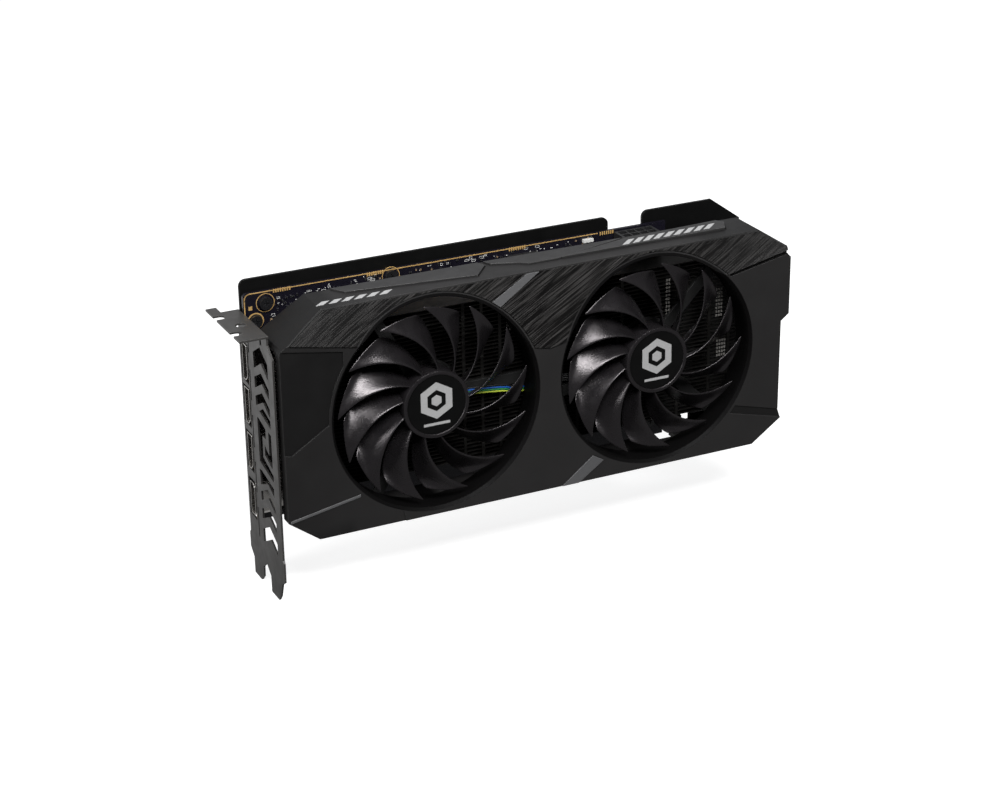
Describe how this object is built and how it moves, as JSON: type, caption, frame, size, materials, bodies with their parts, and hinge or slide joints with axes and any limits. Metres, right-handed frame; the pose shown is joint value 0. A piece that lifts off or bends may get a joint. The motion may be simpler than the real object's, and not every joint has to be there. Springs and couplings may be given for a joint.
{
  "type": "graphics card",
  "caption": "Two-slot graphics card with a vented slot bracket, finned cooler, angular black shroud, swept-blade fans, edge connector and a power header.",
  "frame": {"origin": "on the edge connector, at the middle of its key notch, at mid thickness of the board, on its lowest edge", "axes": "+X from the slot bracket to the free end, -Y the fan side, +Z away from the slot"},
  "size_m": [0.2529, 0.0505, 0.133],
  "materials": {
    "bracket_black": "satin black coat",
    "screw_black": "black oxide",
    "screw_steel": "plated",
    "nickel_shell": "nickel plated",
    "black_nylon": "moulded",
    "solder_mask": "dark solder mask",
    "gold_plate": "gold plated",
    "substrate": "laminate",
    "silicon": "polished",
    "chip_epoxy": "moulded epoxy",
    "inductor_grey": "pressed powder",
    "can_aluminium": "drawn can",
    "chip_ceramic": "fired",
    "paste_grey": "paste",
    "thermal_pad": "soft pad",
    "copper": "milled copper",
    "pipe_nickel": "nickel plated copper",
    "black_aluminium": "black coat",
    "fin_aluminium": "stamped sheet",
    "spring_steel": "wire",
    "plate_black": "matt black coat",
    "standoff_brass": "turned",
    "shroud_black": "fine texture",
    "brushed_panel": "brushed texture",
    "pale_strip": "satin grey",
    "band_plate": "satin",
    "fan_frame_black": "moulded",
    "impeller_black": "glossy",
    "badge_black": "printed foil",
    "ferrite": "bonded ferrite",
    "shaft_steel": "ground",
    "bearing_bronze": "sintered",
    "stator_copper": "lacquered wire",
    "board_green": "laminate",
    "lead_pvc": "insulation"
  },
  "bodies": {
    "root": {"accent_strips": "pale_strip", "backplate": "plate_black", "backplate_standoffs": "standoff_brass", "board_screws": "screw_black", "bracket_screws": "screw_black", "ceramic_capacitors": "chip_ceramic", "circuit_board": "solder_mask", "cold_plate": "copper", "cooler_screws": "screw_steel", "cooler_springs": "spring_steel", "edge_contacts": "gold_plate", "fan_1_bearing": "bearing_bronze", "fan_1_frame": "fan_frame_black", "fan_1_lead": "lead_pvc", "fan_1_stator": "stator_copper", "fan_2_bearing": "bearing_bronze", "fan_2_frame": "fan_frame_black", "fan_2_lead": "lead_pvc", "fan_2_stator": "stator_copper", "fan_circuits": "board_green", "fan_headers": "black_nylon", "fan_screws": "screw_black", "fin_stack": "fin_aluminium", "frame_plate": "black_aluminium", "gpu_die": "silicon", "gpu_package": "substrate", "heat_pipe_1": "pipe_nickel", "heat_pipe_2": "pipe_nickel", "heat_pipe_3": "pipe_nickel", "heat_pipe_4": "pipe_nickel", "inductors": "inductor_grey", "io_bracket": "bracket_black", "memory_chips": "chip_epoxy", "memory_pads": "thermal_pad", "name_plate": "band_plate", "power_connector": "black_nylon", "power_pins": "gold_plate", "power_stages": "chip_epoxy", "shroud": "shroud_black", "shroud_screws": "screw_black", "solid_capacitors": "can_aluminium", "thermal_paste": "paste_grey", "top_plates": "band_plate", "upper_trim": "brushed_panel", "video_socket_1": "nickel_shell", "video_socket_2": "nickel_shell", "video_socket_3": "nickel_shell", "video_socket_4": "nickel_shell", "video_tongue_4": "black_nylon", "video_tongues": "black_nylon", "vrm_pads": "thermal_pad"},
    "fan_1_rotor": {"fan_1_impeller": "impeller_black", "fan_1_shaft": "shaft_steel", "fan_1_magnet": "ferrite", "fan_1_badge": "badge_black"},
    "fan_2_rotor": {"fan_2_impeller": "impeller_black", "fan_2_shaft": "shaft_steel", "fan_2_magnet": "ferrite", "fan_2_badge": "badge_black"}
  },
  "joints": [
    {"name": "fan_1_spin", "type": "hinge", "parent": "root", "child": "fan_1_rotor", "pos_m": [0.01135, -0.033, 0.06245], "axis": [0, -1, 0], "continuous": true},
    {"name": "fan_2_spin", "type": "hinge", "parent": "root", "child": "fan_2_rotor", "pos_m": [0.11635, -0.033, 0.06245], "axis": [0, -1, 0], "continuous": true}
  ]
}
